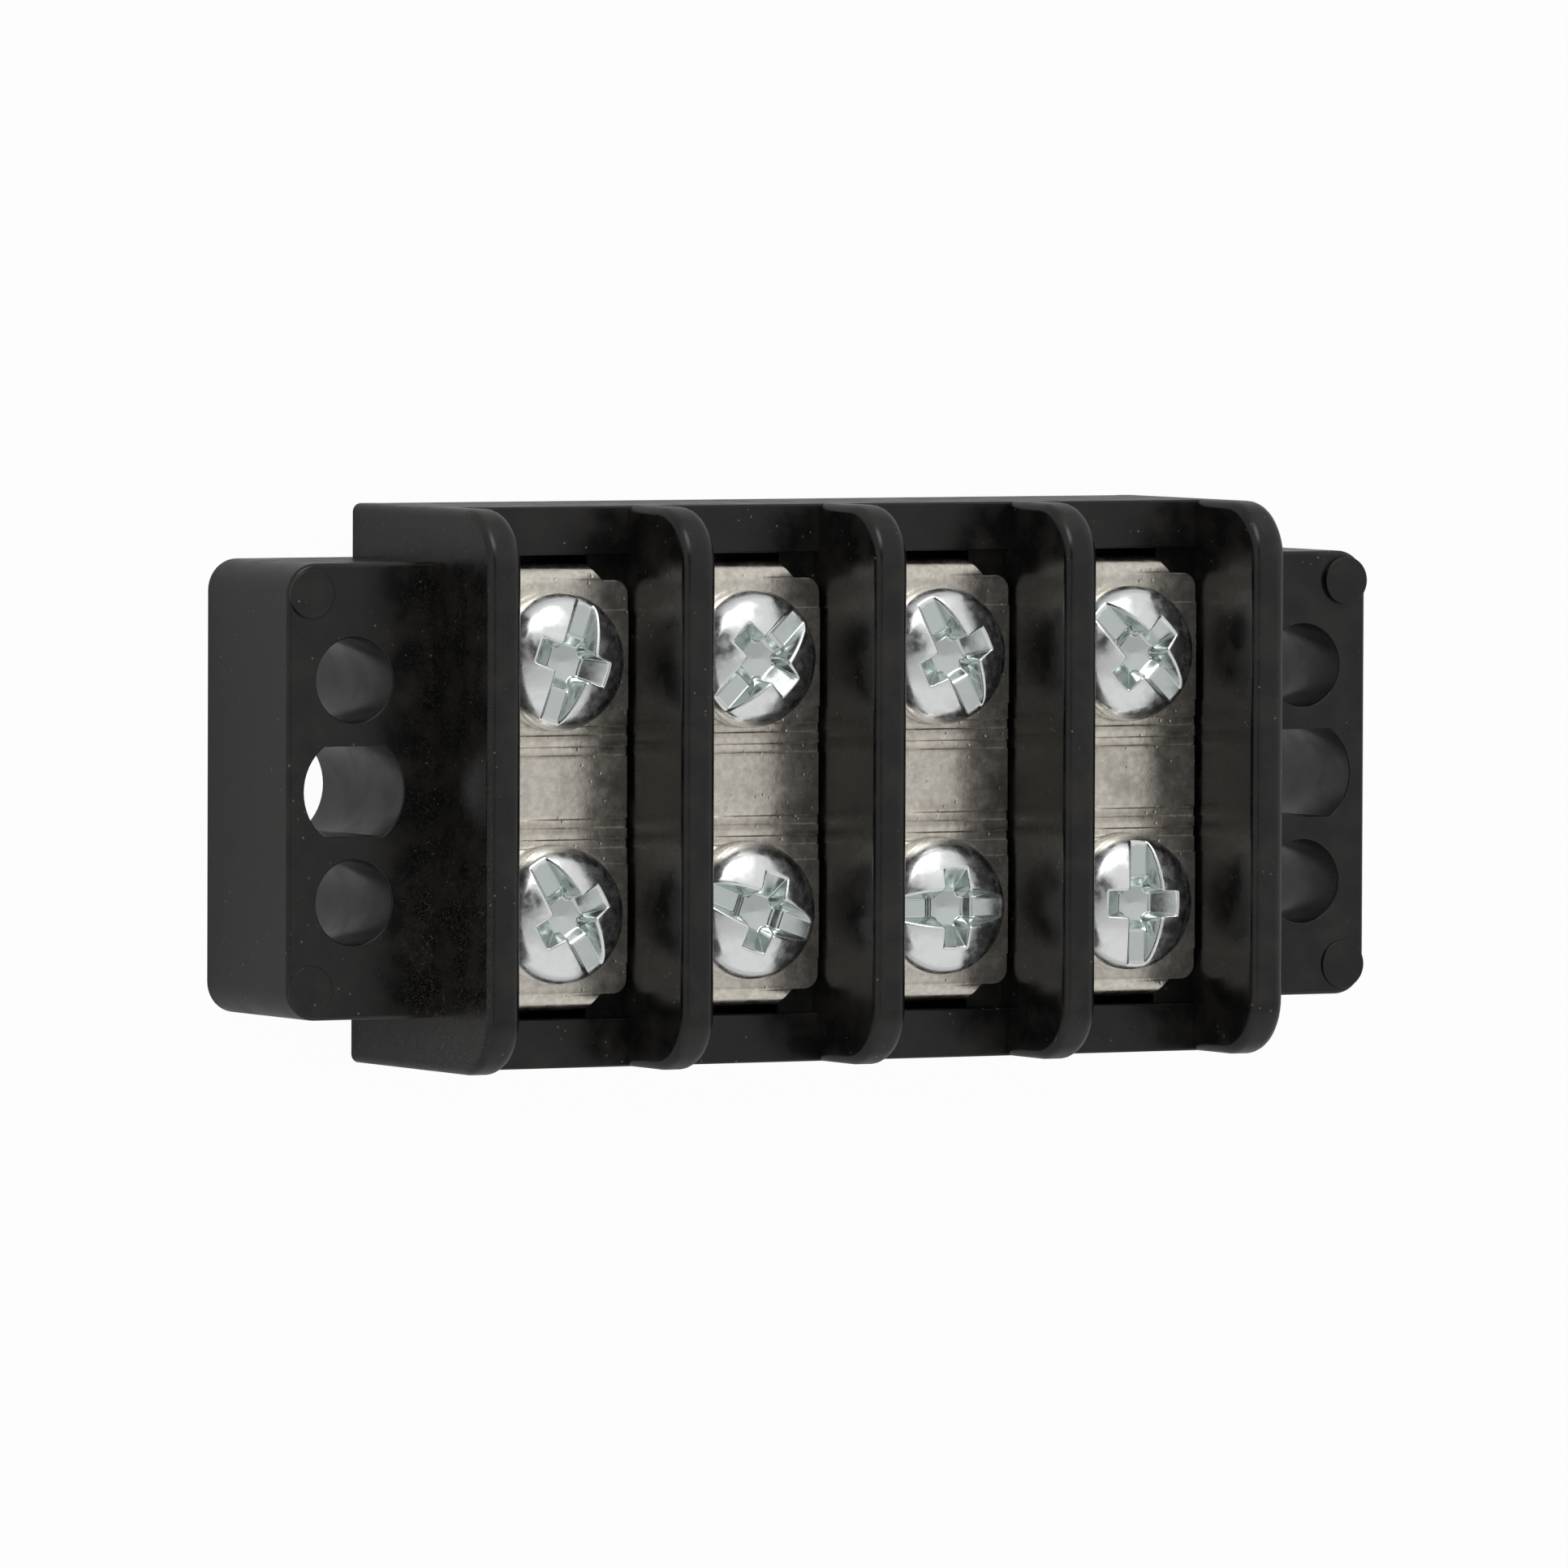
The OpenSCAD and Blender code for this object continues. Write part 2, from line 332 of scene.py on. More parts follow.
def glossy_black_moulding():
    """Black glass-filled polyester, injection moulded: a soft, wavy gloss under lint and grey dust."""
    material, tree, place = start_material("glossy_black_moulded_polyester")
    # Waves about 0.9 mm apart bend the reflections; grain about 0.14 mm across softens them.
    relief = add(tree, "Bump", {"Height": noise(tree, place, 0.9, 2), "Strength": 0.06,
                                "Distance": 0.05 * MM})
    relief = add(tree, "Bump", {"Height": noise(tree, place, 0.14, 3), "Strength": 0.1,
                                "Distance": 0.012 * MM, "Normal": relief.outputs[0]})
    # A film of dust in patches about 1.8 mm across dulls the gloss.
    film = ramp(tree, noise(tree, place, 1.8, 5), 0.42, 0.72)
    rough = ramp(tree, film, 0, 1, 0.24, 0.4)
    haze = add(tree, "Math", {0: film, 1: 0.05}, operation="MULTIPLY")
    # Specks lie 0.55 mm apart where they lie at all, and are about 0.1 mm across.
    speck_gap = 0.55
    cells = add(tree, "TexVoronoi", {"Vector": place, "Scale": 1 / speck_gap, "Randomness": 1.0})
    speck = ramp(tree, cells.outputs["Distance"], 0.07, 0.13, 1, 0)
    sparse = ramp(tree, noise(tree, place, 1.6, 2), 0.52, 0.62)
    speck_share = add(tree, "Math", {0: speck, 1: sparse}, operation="MULTIPLY")
    speck_level = add(tree, "Math", {0: speck_share.outputs[0], 1: 0.55}, operation="MULTIPLY")
    # Lint curls along the middle level of a twisted noise, drawn wider than real fibres so that it shows.
    curl = 0.5
    lint = add(tree, "TexNoise", {"Vector": place, "Scale": 1 / curl, "Detail": 3.0, "Distortion": 3.0})
    offset = add(tree, "Math", {0: lint.outputs[0], 1: 0.5}, operation="SUBTRACT")
    strand = add(tree, "Math", {0: offset.outputs[0]}, operation="ABSOLUTE")
    strand_line = ramp(tree, strand.outputs[0], 0.004, 0.012, 1, 0)
    # It gathers on the left ear between the holes and the first barrier, most of all towards row b.
    axes = add(tree, "SeparateXYZ", {0: place})
    past_holes = ramp(tree, axes.outputs[0], -STRIP_HALF_L + 6.0, -STRIP_HALF_L + 8.2)
    before_barrier = ramp(tree, axes.outputs[0], -BODY_HALF_L - 0.1, -BODY_HALF_L + 0.3, 1, 0)
    corner = add(tree, "Math", {0: past_holes, 1: before_barrier}, operation="MULTIPLY")
    toward_b = ramp(tree, axes.outputs[1], -6.0, -2.0, 1.0, 0.45)
    dusty = add(tree, "Math", {0: corner.outputs[0], 1: toward_b}, operation="MULTIPLY")
    lint_share = add(tree, "Math", {0: strand_line, 1: ramp(tree, dusty.outputs[0], 0, 1, 0.05, 0.6)},
                     operation="MULTIPLY")
    dirt = add(tree, "Math", {0: lint_share.outputs[0], 1: speck_level.outputs[0]}, operation="MAXIMUM")
    dirt = add(tree, "Math", {0: dirt.outputs[0], 1: haze.outputs[0]}, operation="MAXIMUM")
    colour = add(tree, "Mix", {0: dirt.outputs[0], 6: srgb("#090909"), 7: srgb("#8E857A")}, data_type="RGBA")
    shader = add(tree, "BsdfPrincipled", {
        "Base Color": colour.outputs[2], "Roughness": rough, "IOR": 1.47, "Normal": relief.outputs[0]})
    add(tree, "OutputMaterial", {"Surface": shader.outputs[0]})
    return material


def nickel_plated_brass():
    """Rolled brass strip under dull nickel: a warm grey metal, mottled, with small pits and brown stains."""
    material, tree, place = start_material("dull_nickel_plated_brass")
    mottle = noise(tree, place, 0.32, 4)
    # Pits lie 0.6 mm apart and are about 0.1 mm across.
    pit_gap = 0.6
    cells = add(tree, "TexVoronoi", {"Vector": place, "Scale": 1 / pit_gap, "Randomness": 1.0})
    pits = ramp(tree, cells.outputs["Distance"], 0.05, 0.16, 0, 1)
    relief = add(tree, "Bump", {"Height": mottle, "Strength": 0.3, "Distance": 0.025 * MM})
    relief = add(tree, "Bump", {"Height": pits, "Strength": 0.5, "Distance": 0.02 * MM,
                                "Normal": relief.outputs[0]})
    rough = ramp(tree, noise(tree, place, 0.9, 4), 0.3, 0.7, 0.19, 0.32)
    stain = ramp(tree, noise(tree, place, 1.7, 5), 0.52, 0.75, 0, 0.4)
    plain = add(tree, "Mix", {0: ramp(tree, mottle, 0.35, 0.65), 6: srgb("#D8D2C7"), 7: srgb("#F0EADE")},
                data_type="RGBA")
    colour = add(tree, "Mix", {0: stain, 6: plain.outputs[2], 7: srgb("#8B7F70")}, data_type="RGBA")
    shader = add(tree, "BsdfPrincipled", {
        "Base Color": colour.outputs[2], "Metallic": 1.0, "Roughness": rough, "Normal": relief.outputs[0]})
    add(tree, "OutputMaterial", {"Surface": shader.outputs[0]})
    return material


def zinc_plated_steel(name, code, rough_low, rough_high):
    """Cold-headed steel under bright zinc with a clear chromate: near white, speckled where it turns dark."""
    material, tree, place = start_material(name)
    relief = add(tree, "Bump", {"Height": noise(tree, place, 0.5, 3), "Strength": 0.1, "Distance": 0.02 * MM})
    relief = add(tree, "Bump", {"Height": noise(tree, place, 0.13, 2), "Strength": 0.12,
                                "Distance": 0.012 * MM, "Normal": relief.outputs[0]})
    rough = ramp(tree, noise(tree, place, 0.5, 4), 0.35, 0.65, rough_low, rough_high)
    shader = add(tree, "BsdfPrincipled", {
        "Base Color": srgb(code), "Metallic": 1.0, "Roughness": rough, "Normal": relief.outputs[0]})
    add(tree, "OutputMaterial", {"Surface": shader.outputs[0]})
    return material


# ---- Housing -----------------------------------------------------------------

def barrier(x, foot):
    """One barrier wall, rounded along every free edge, standing from the foot height."""
    outline = rounded_rectangle(-BODY_HALF_W, BODY_HALF_W, foot, BARRIER_H,
                                (0, 0, BARRIER_CORNER_R, BARRIER_CORNER_R), 12)
    rows = levels(-BARRIER_T / 2, BARRIER_T / 2, BARRIER_LEFT_EDGE_R, BARRIER_RIGHT_EDGE_R, 6)
    across = Matrix(((0, 0, 1, x), (1, 0, 0, 0), (0, 1, 0, 0), (0, 0, 0, 1)))
    return slab(outline, rows, across)


def ear(end):
    """One drilled ear, its inner end buried in the end barrier."""
    buried = BODY_HALF_L - OVERLAP
    x0, x1 = (buried, STRIP_HALF_L) if end > 0 else (-STRIP_HALF_L, -buried)
    radii = (0, EAR_CORNER_R, EAR_CORNER_R, 0) if end > 0 else (EAR_CORNER_R, 0, 0, EAR_CORNER_R)
    outline = rounded_rectangle(x0, x1, -EAR_HALF_W, EAR_HALF_W, radii, 10)
    return slab(outline, levels(BELOW, BASE_H, 0, EAR_EDGE_R))


def ear_holes(end):
    """The three through holes of one ear, flared at the rim, and the shallow ring round the middle one."""
    x = end * (STRIP_HALF_L - HOLE_INSET)
    rise = math.degrees(math.asin(MIDDLE_HOLE_FLAT_Y / MIDDLE_HOLE_R))
    middle = arc(x, 0, MIDDLE_HOLE_R, -rise, rise, 16)
    middle += arc(x, 0, MIDDLE_HOLE_R, 180 - rise, 180 + rise, 16)
    rounds = [arc(x, side * SIDE_HOLE_Y, SIDE_HOLE_R, 0, 352.5, 47) for side in SIDES]
    rows = levels(BELOW - 1, BASE_H, 0, -HOLE_FLARE) + [(CUT_ABOVE, -HOLE_FLARE)]
    ring = arc(x, 0, WITNESS_RING_R, 0, 352.5, 47)
    witness = slab(ring, levels(BASE_H - WITNESS_RING_DEPTH, CUT_ABOVE))
    return [slab(outline, rows) for outline in [middle] + rounds] + [witness]


def ejector_marks(end):
    """The two raised discs that the ejector pins leave at the corners of one ear."""
    x = end * (STRIP_HALF_L - EJECTOR_INSET)
    y = EAR_HALF_W - EJECTOR_SIDE_INSET
    discs = []
    for side in SIDES:
        top = BASE_H + EJECTOR_HEIGHTS[end, side]
        rows = levels(BASE_H - EJECTOR_ROOT, top, 0, EJECTOR_EDGE_R, 3)
        discs.append(slab(arc(x, side * y, EJECTOR_R, 0, 350, 35), rows))
    return discs


def pocket(x):
    """The sunk floor of one circuit, open at the top."""
    half_w = PITCH / 2 - BARRIER_T / 2 + POCKET_OVERLAP
    end = BODY_HALF_W - LIP_W
    rows = levels(POCKET_FLOOR, BASE_H, 0, -SMALL_EDGE_R) + [(CUT_ABOVE, -SMALL_EDGE_R)]
    return slab(rounded_rectangle(x - half_w, x + half_w, -end, end, SQUARE), rows)


def tongue_slot(x, side):
    """The slot that one tongue of a plate stands in."""
    half_w = TONGUE_HALF_W + TONGUE_CLEARANCE
    inner = PLATE_HALF_L - PLATE_T - TONGUE_CLEARANCE
    outer = BODY_HALF_W - LIP_W - COPLANAR_STEP
    y0, y1 = sorted((side * inner, side * outer))
    return slab(rounded_rectangle(x - half_w, x + half_w, y0, y1, SQUARE),
                levels(PLATE_LOW - TONGUE_CLEARANCE, CUT_ABOVE))


def screw_well(x, side):
    """The blind well under one tapped hole."""
    return slab(arc(x, side * SCREW_Y, WELL_R, 0, 345, 23), levels(WELL_FLOOR, CUT_ABOVE))


def build_housing(material):
    """The one-piece moulding: base, lips, barriers and ears, cut flat underneath."""
    half_l = BODY_HALF_L - BARRIER_T / 2
    half_w = BODY_HALF_W - COPLANAR_STEP
    base = rounded_rectangle(-half_l, half_l, -half_w, half_w, SQUARE)
    housing = make_solid("housing_moulding", [slab(base, levels(BELOW, BASE_H, 0, SMALL_EDGE_R))])
    combine(housing, "DIFFERENCE", [pocket(x) for x in circuit_x])
    combine(housing, "UNION", [barrier(x, BELOW if abs(x) > half_l - 1 else INNER_BARRIER_FOOT)
                               for x in barrier_x])
    combine(housing, "UNION", [ear(-1), ear(1)])
    combine(housing, "UNION", ejector_marks(-1) + ejector_marks(1))
    places = [(x, side) for x in circuit_x for side in SIDES]
    combine(housing, "DIFFERENCE", [tongue_slot(*at) for at in places] + [screw_well(*at) for at in places])
    combine(housing, "DIFFERENCE", ear_holes(-1) + ear_holes(1))
    wide = 2 * STRIP_HALF_L
    under = rounded_rectangle(-wide, wide, -wide, wide, SQUARE)
    combine(housing, "DIFFERENCE", [slab(under, levels(-10, 0))])
    finish_mesh(housing, material)
    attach(housing, "strip")
    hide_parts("housing")
    return housing


# ---- Terminal plates ---------------------------------------------------------

def plate_outline(tip):
    """Developed outline of a plate: rounded shoulders, filleted tongues, ends at the tip length."""
    r, f = SHOULDER_R, TONGUE_FILLET_R
    quarter = arc(PLATE_HALF_W - r, SHOULDER_Y - r, r, 0, 90, 8)
    quarter += arc(TONGUE_ROOT_HALF_W + f, SHOULDER_Y + f, f, 270, 205, 4)
    quarter += [(TONGUE_HALF_W, SHOULDER_Y + TONGUE_FLARE_L), (TONGUE_HALF_W, tip)]
    half = quarter + [(-x, y) for x, y in reversed(quarter)]
    return half + [(-x, -y) for x, y in half]


def relief_knots():
    """(distance from the middle, height) corners of a plate's pressed face: two grooves and a pad."""
    knots = []
    for centre in GROOVE_Y:
        knots += [(centre + offset, height) for offset, height in GROOVE_SECTION]
    start, end = PAD_Y
    return knots + [(start - PAD_FOOT, 0), (start + PAD_SHOULDER, PAD_H),
                    (end - PAD_SHOULDER, PAD_H), (end + PAD_FOOT, 0)]


def build_plate(i, material):
    """One plate: sheared blank, pressed grooves and pads, both tongues bent down."""
    bend_start = PLATE_HALF_L - BEND_R
    bend_length = BEND_R * math.pi / 2
    tip = bend_start + bend_length + (PLATE_TOP - BEND_R - PLATE_LOW)
    outline = plate_outline(tip)
    rows = levels(-PLATE_T, 0, LOWER_EDGE_R, SHEARED_EDGE_R, 3)
    plate = make_solid(f"terminal_plate_{i + 1}", [slab(outline, rows)])
    relief_y, relief_z = zip(*relief_knots())
    cuts = list(relief_y) + [bend_start + bend_length * k / 10 for k in range(11)]
    upper_face = -0.3
    work = bmesh.new()
    work.from_mesh(plate.data)
    for y in cuts + [-y for y in cuts]:
        bmesh.ops.bisect_plane(work, geom=work.verts[:] + work.edges[:] + work.faces[:], dist=1e-5,
                               plane_co=(0, y, 0), plane_no=(0, 1, 0))
    for vert in work.verts:
        x, y, z = vert.co
        side = math.copysign(1, y)
        along = abs(y)
        if z > upper_face:
            z += np.interp(along, relief_y, relief_z)
        turn = min(max(along - bend_start, 0) / BEND_R, math.pi / 2)
        leg = max(along - bend_start - bend_length, 0)
        if turn > 0:
            along = bend_start + (BEND_R + z) * math.sin(turn)
            z = -BEND_R + (BEND_R + z) * math.cos(turn) - leg
        vert.co = (circuit_x[i] + x, side * along, PLATE_TOP + z)
    work.normal_update()
    work.to_mesh(plate.data)
    work.free()
    combine(plate, "DIFFERENCE", [slab(arc(circuit_x[i], side * SCREW_Y, TAPPED_R, 0, 350, 35),
                                       levels(*TAPPED_CUT)) for side in SIDES])
    finish_mesh(plate, material, 25)
    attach(plate, "strip")
    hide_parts(f"plate_{i + 1}")
    return plate


# ---- Terminal screws ---------------------------------------------------------

def smooth_max(a, b, width):
    """The larger of two fields, blended over a width."""
    near = np.maximum(width - np.abs(a - b), 0) / width
    return np.maximum(a, b) + near * near * width / 4


def smooth_min(a, b, width):
    """The smaller of two fields, blended over a width."""
    return -smooth_max(-a, -b, width)


def pan_field(x, y, z):
    """Signed distance, roughly, to the outside of a pan head: a straight rim under a low dome."""
    r = np.hypot(x, y)
    dome_h = HEAD_H - RIM_H
    dome_r = (HEAD_R ** 2 + dome_h ** 2) / (2 * dome_h)
    dome = np.sqrt(x * x + y * y + (z - HEAD_H + dome_r) ** 2) - dome_r
    return smooth_max(smooth_max(dome, r - HEAD_R, RIM_BLEND), -z, SEAT_BLEND)


def head_field(x, y, z):
    """The pan head with a drafted slot along x and a cross recess with sloping wing ends."""
    depth = z - SLOT_FLOOR
    slot = smooth_max(np.abs(y) - SLOT_HALF_W - SLOT_DRAFT * depth, -depth, SLOT_BLEND)
    reach = CROSS_REACH - (CROSS_TOP - z)
    half = CROSS_HALF_W + CROSS_DRAFT * (z - CROSS_FLOOR)
    wing_x = smooth_max(np.abs(y) - half, np.abs(x) - reach, WING_BLEND)
    wing_y = smooth_max(np.abs(x) - half, np.abs(y) - reach, WING_BLEND)
    floor = CROSS_FLOOR + CROSS_CONE * np.hypot(x, y) - z
    recess = smooth_max(smooth_min(wing_x, wing_y, QUADRANT_BLEND), floor, WING_BLEND)
    slotted = smooth_max(pan_field(x, y, z), -slot, SLOT_LIP_BLEND)
    return smooth_max(slotted, -recess, CROSS_LIP_BLEND)


def surface_net(values, low, step):
    """Quads of the closed surface where sampled values change sign, one corner in each cell it crosses."""
    inside = values < 0
    shape = np.array(values.shape) - 1
    total = np.zeros(tuple(shape) + (3,))
    count = np.zeros(tuple(shape))
    crossings = []
    for axis in range(3):
        a = np.take(values, range(shape[axis]), axis)
        b = np.take(values, range(1, shape[axis] + 1), axis)
        change = (a < 0) != (b < 0)
        where = np.argwhere(change)
        point = where.astype(float)
        point[:, axis] += a[change] / (a[change] - b[change])
        others = [k for k in range(3) if k != axis]
        for shift_0 in (0, 1):
            for shift_1 in (0, 1):
                cell = where.copy()
                cell[:, others[0]] -= shift_0
                cell[:, others[1]] -= shift_1
                valid = (cell >= 0).all(1) & (cell < shape).all(1)
                index = tuple(cell[valid].T)
                np.add.at(total, index, point[valid])
                np.add.at(count, index, 1)
        crossings.append((axis, others, where, inside[tuple(where.T)]))
    used = count > 0
    number = np.full(tuple(shape), -1)
    number[used] = np.arange(used.sum())
    points = low + step * (total[used] / count[used][:, None])
    quads = []
    for axis, others, where, starts_inside in crossings:
        corner = []
        for shift_0, shift_1 in ((1, 1), (0, 1), (0, 0), (1, 0)):
            cell = where.copy()
            cell[:, others[0]] -= shift_0
            cell[:, others[1]] -= shift_1
            corner.append(number[tuple(cell.T)])
        quad = np.stack(corner, 1)
        flip = starts_inside == (axis == 1)
        quad[flip] = quad[flip][:, ::-1]
        quads.append(quad)
    return points, np.concatenate(quads)


def field_gradient(field, points):
    """Gradient of a field at points, by central differences."""
    step = 1e-3
    parts = []
    for axis in range(3):
        ahead, behind = points.copy(), points.copy()
        ahead[:, axis] += step
        behind[:, axis] -= step
        parts.append((field(*ahead.T) - field(*behind.T)) / (2 * step))
    return np.stack(parts, 1)


def thread_surface():
    """Corners and faces of the threaded shank, from the head down to its chamfered tip."""
    around, rows_per_turn, crest_slope = 32, 8, 1.25
    rows = int(SCREW_L / THREAD_PITCH * rows_per_turn)
    points, faces = [], []
    for row in range(rows + 1):
        z = -SCREW_L * row / rows + SHANK_IN_HEAD
        for k in range(around):
            a = 2 * math.pi * k / around
            phase = (z / THREAD_PITCH - k / around) % 1
            crest = 1 - abs(2 * phase - 1)
            r = SCREW_R - THREAD_DEPTH * (1 - min(crest * crest_slope, 1))
            taper = max(0, -SCREW_L + SHANK_IN_HEAD + TIP_CHAMFER - z)
            r = min(r, SCREW_R - taper) if row < rows else TIP_R
            points.append(Vector((r * math.cos(a), r * math.sin(a), z)))
    for row in range(rows):
        for k in range(around):
            j = (k + 1) % around
            a, b = row * around, (row + 1) * around
            faces.append((a + k, b + k, b + j, a + j))
    faces.append(tuple(range(around)))
    faces.append(tuple(range(rows * around, (rows + 1) * around))[::-1])
    return points, faces


def head_surface():
    """Corners, quads and normals of a head, settled onto its field."""
    step = HEAD_MESH_STEP
    margin = 2.5 * step
    axis_xy = np.arange(-HEAD_R - margin, HEAD_R + margin, step)
    axis_z = np.arange(-margin, HEAD_H + margin, step)
    grid = np.meshgrid(axis_xy, axis_xy, axis_z, indexing="ij")
    corner = np.array([axis_xy[0], axis_xy[0], axis_z[0]])
    points, quads = surface_net(head_field(*grid), corner, step)
    for _ in range(2):
        slope = field_gradient(head_field, points)
        points -= slope * (head_field(*points.T) / (slope ** 2).sum(1).clip(0.05))[:, None]
    normals = field_gradient(head_field, points)
    normals /= np.linalg.norm(normals, axis=1)[:, None]
    return points, quads, normals


def build_screw(row, i, material, recess_painted_shade_material):
    """One screw, turned to where it was driven; the faces of its recess take a darker copy of the zinc, which
    is painted shade.
    """
    node = f"screw_{row}{i + 1}"
    low, high = box_mm(node)
    x, y = (low.x + high.x) / 2, (low.y + high.y) / 2
    points, quads, normals = head_surface()
    shank_points, shank_faces = thread_surface()
    count = len(points)
    name = f"terminal_screw_{row}{i + 1}"
    mesh = bpy.data.meshes.new(name)
    mesh.from_pydata([Vector(p) for p in points] + shank_points, [],
                     [tuple(q) for q in quads] + [tuple(k + count for k in f) for f in shank_faces])
    turn = Matrix.Rotation(math.radians(SLOT_ANGLES[row][i]), 4, "Z")
    place = Matrix.Translation((x, y, PAD_TOP)) @ turn
    mesh.transform(place)
    mesh.transform(Matrix.Scale(MM, 4))
    mesh.polygons.foreach_set("use_smooth", [True] * len(mesh.polygons))
    turned = [tuple(place.to_3x3() @ Vector(n)) for n in normals]
    mesh.normals_split_custom_set_from_vertices(turned + [(0, 0, 0)] * len(shank_points))
    mesh.materials.append(material)
    mesh.materials.append(recess_painted_shade_material)
    # Faces sunk below the head's surface get the darker zinc: painted shade in the recess.
    centres = points[quads].mean(1)
    sunk = (pan_field(*centres.T) < -RECESS_SKIN) & (centres[:, 2] > CROSS_FLOOR - 0.1)
    mesh.polygons.foreach_set("material_index", [int(q) for q in sunk] + [0] * len(shank_faces))
    screw = bpy.data.objects.new(name, mesh)
    bpy.context.scene.collection.objects.link(screw)
    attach(screw, node)
    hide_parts(node)
    return screw


# ---- Studio ------------------------------------------------------------------

def white_floor():
    """A matt pale table that shows white to the camera and, in part, in reflections; the extra white under
    the strip, where the table lies in shade, is painted light.
    """
    material, tree, place = start_material("matt_white_table")
    path = add(tree, "LightPath")
    reflected = add(tree, "Math", {0: path.outputs["Is Glossy Ray"], 1: path.outputs["Is Transmission Ray"]},
                    operation="MAXIMUM")
    off_middle = add(tree, "VectorMath", {0: place}, operation="ABSOLUTE")
    axes = add(tree, "SeparateXYZ", {0: off_middle.outputs[0]})
    # Under the strip, where the table lies in its shade, reflections see more white: painted light.
    along = ramp(tree, axes.outputs[0], STRIP_HALF_L - 1.5, STRIP_HALF_L - 0.5, 1, 0)
    across = ramp(tree, axes.outputs[1], EAR_HALF_W - 1.5, EAR_HALF_W - 0.5, 1, 0)
    under = add(tree, "Math", {0: along, 1: across}, operation="MULTIPLY")
    painted_glow = ramp(tree, under.outputs[0], 0, 1, 0.15, 0.55)
    share = add(tree, "Math", {0: reflected.outputs[0], 1: painted_glow}, operation="MULTIPLY")
    seen = add(tree, "Math", {0: path.outputs["Is Camera Ray"], 1: 0.97}, operation="MULTIPLY")
    weight = add(tree, "Math", {0: seen.outputs[0], 1: share.outputs[0]}, operation="MAXIMUM")
    matt = add(tree, "BsdfDiffuse", {"Color": srgb("#C6C6C6")})
    white = add(tree, "Emission", {"Color": (1, 1, 1, 1), "Strength": 1.0})
    mixed = add(tree, "MixShader", {0: weight.outputs[0], 1: matt.outputs[0], 2: white.outputs[0]})
    add(tree, "OutputMaterial", {"Surface": mixed.outputs[0]})
    mesh = bpy.data.meshes.new("table_top")
    reach, drop = 3.0, -0.02 * MM
    corners = ((-reach, -reach), (reach, -reach), (reach, reach), (-reach, reach))
    mesh.from_pydata([(x, y, drop) for x, y in corners], [], [(0, 1, 2, 3)])
    mesh.materials.append(material)
    table = bpy.data.objects.new("table_top", mesh)
    bpy.context.scene.collection.objects.link(table)


def soft_world():
    """A pale room with a dark spot overhead and a dimmer band beside it; the camera sees it white."""
    world = bpy.data.worlds.new("pale_room")
    bpy.context.scene.world = world
    world.use_nodes = True
    tree = world.node_tree
    tree.nodes.clear()
    way = add(tree, "TexCoord").outputs["Generated"]
    spot_way = Vector(DARK_SPOT).normalized()
    toward_spot = add(tree, "VectorMath", {0: way, 1: spot_way}, operation="DOT_PRODUCT")
    outer, inner = [math.cos(math.radians(angle)) for angle in SPOT_RADII]
    spot = ramp(tree, toward_spot.outputs["Value"], outer, inner)
    y = add(tree, "SeparateXYZ", {0: way}).outputs[1]
    band = add(tree, "Math", {0: ramp(tree, y, -0.5, -0.36), 1: ramp(tree, y, -0.12, 0.0, 1, 0)},
               operation="MULTIPLY").outputs[0]
    dimmed = ramp(tree, band, 0, 1, ROOM_RADIANCE, BAND_RADIANCE)
    level = add(tree, "Mix", {0: spot, 2: dimmed, 3: SPOT_RADIANCE}, data_type="FLOAT").outputs[0]
    path = add(tree, "LightPath")
    room = add(tree, "Background", {"Color": level, "Strength": 1.0})
    white = add(tree, "Background", {"Color": (1, 1, 1, 1), "Strength": 1.0})
    seen = path.outputs["Is Camera Ray"]
    mixed = add(tree, "MixShader", {0: seen, 1: room.outputs[0], 2: white.outputs[0]})
    add(tree, "OutputWorld", {"Surface": mixed.outputs[0]})


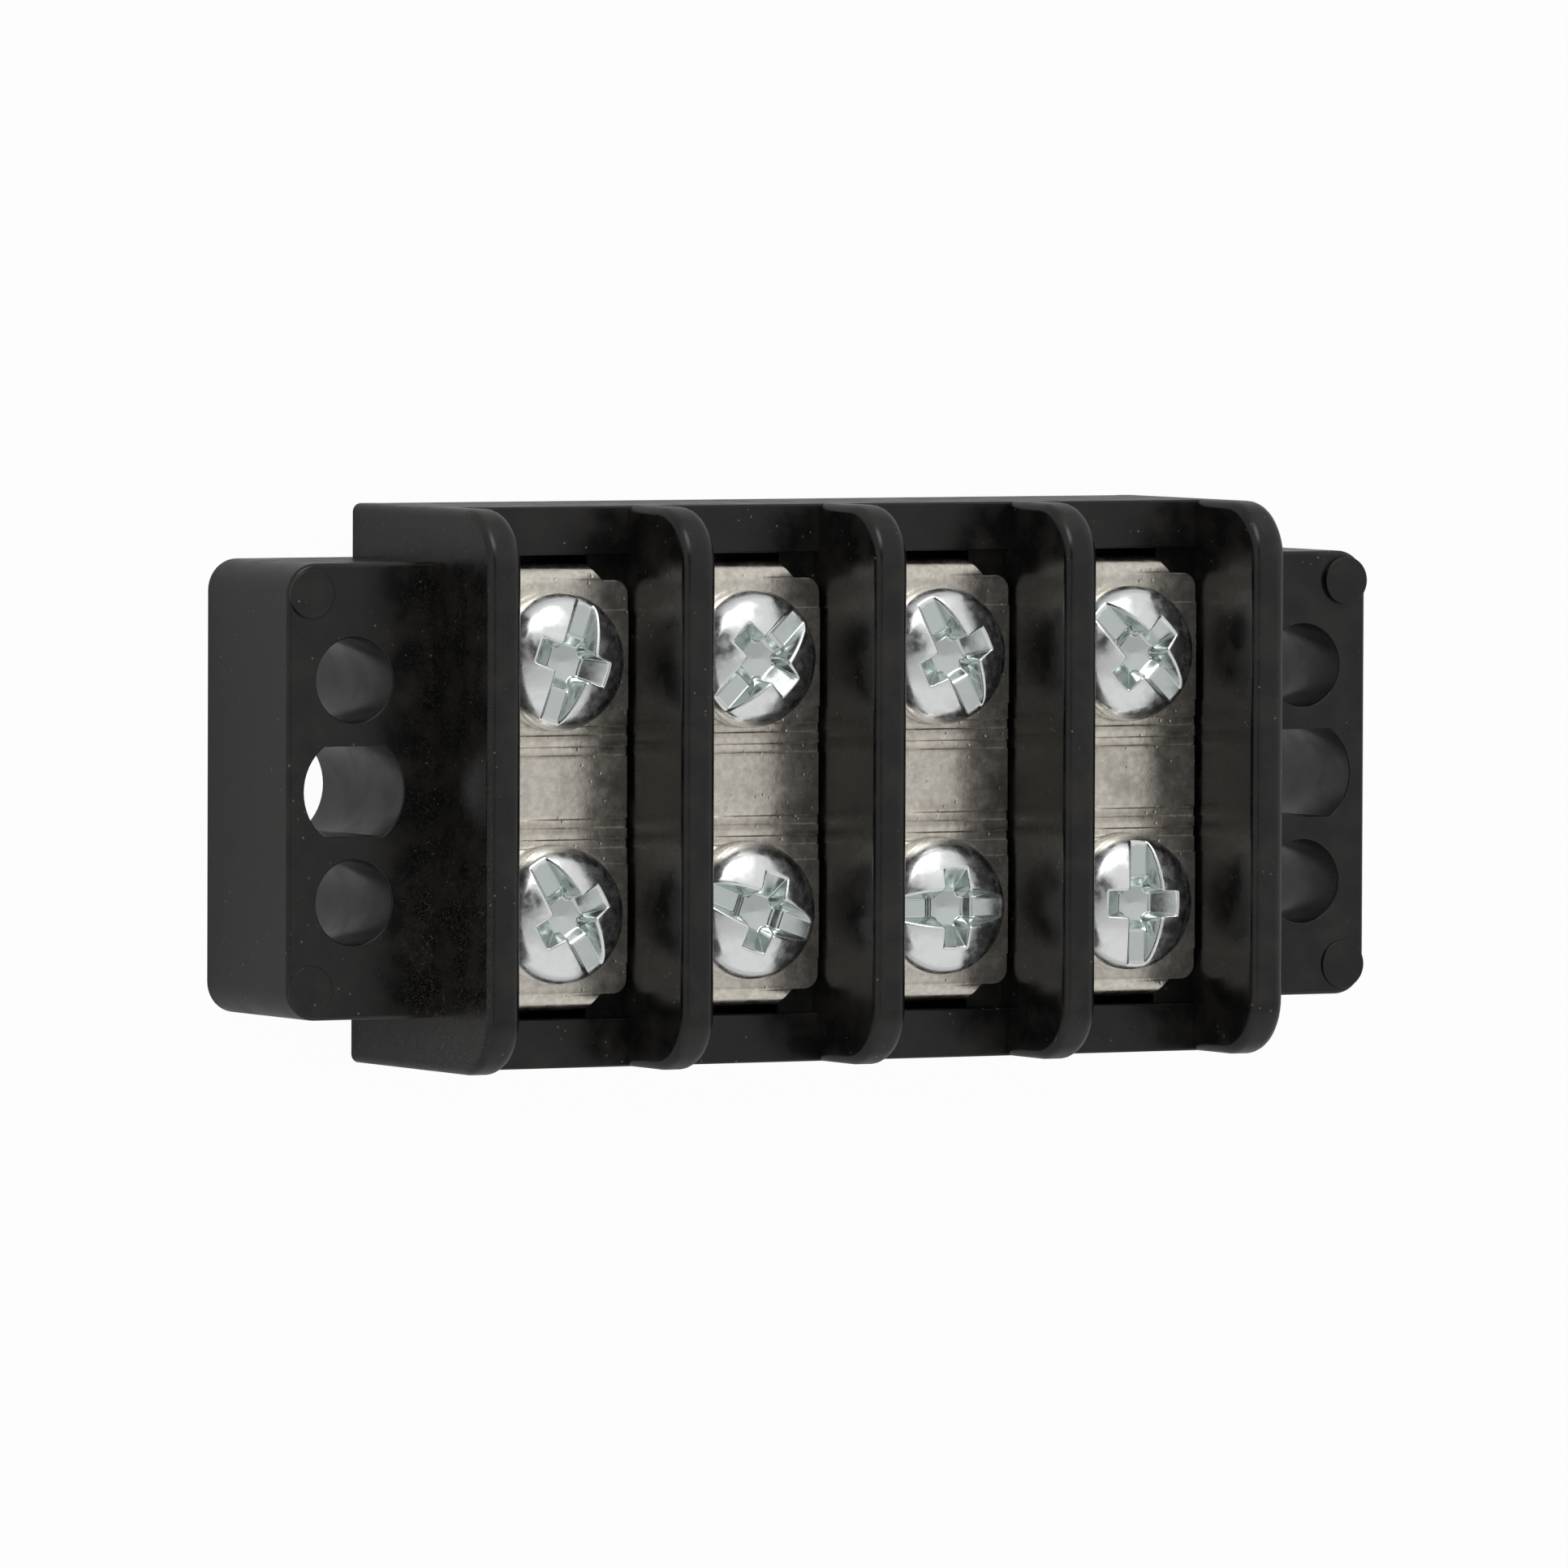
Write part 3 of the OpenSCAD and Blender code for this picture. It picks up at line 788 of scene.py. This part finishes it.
def softbox(name, direction, distance, width, height, radiance):
    """A rectangular lamp that points at the object's middle; its power follows from its radiance."""
    light = bpy.data.lights.new(name, "AREA")
    light.shape = "RECTANGLE"
    light.size = width
    light.size_y = height
    light.energy = math.pi * width * height * radiance
    lamp = bpy.data.objects.new(name, light)
    bpy.context.scene.collection.objects.link(lamp)
    way = Vector(direction).normalized()
    lamp.location = way * distance
    lamp.rotation_euler = way.to_track_quat("Z", "Y").to_euler()


def studio_camera():
    """A long lens from the left of the strip and a little above it, rolled so that row a is at the top."""
    turn_y, turn_x, turn_z = 0.5, 0.0429, -0.0038
    aim_x, aim_y, distance = -1.677, 0.4486, 891.9
    lens, sensor = 396.1, 36.0
    turn = Matrix.Rotation(turn_z, 3, "Z") @ Matrix.Rotation(turn_x, 3, "X") @ Matrix.Rotation(turn_y, 3, "Y")
    place = turn.transposed() @ Vector((-aim_x, -aim_y, distance)) * MM
    camera = bpy.data.cameras.new("studio_camera")
    camera.lens = lens
    camera.sensor_width = sensor
    camera.clip_start = 0.05
    camera.clip_end = 20
    holder = bpy.data.objects.new("studio_camera", camera)
    bpy.context.scene.collection.objects.link(holder)
    holder.matrix_world = Matrix.Translation(place) @ turn.transposed().to_4x4()
    bpy.context.scene.camera = holder


studio_camera()
white_floor()
soft_world()
softbox("top_softbox", direction=(-0.12, 0.79, 0.60), distance=1.0, width=0.60, height=0.50, radiance=2.6)

moulding = glossy_black_moulding()
nickel = nickel_plated_brass()
zinc = zinc_plated_steel("bright_zinc_plated_steel", "#FAFCFC", 0.16, 0.34)
# The recess's zinc is a darker copy of the head's zinc, standing in for shade in the recess: painted shade.
zinc_recess_painted_shade = zinc_plated_steel("zinc_plated_steel_painted_shade_in_recess", "#DEE5E2", 0.14, 0.24)
build_housing(moulding)
for circuit in range(CIRCUITS):
    build_plate(circuit, nickel)
    for row_name in ROWS:
        build_screw(row_name, circuit, zinc, zinc_recess_painted_shade)

bpy.context.scene.view_settings.view_transform = "Standard"
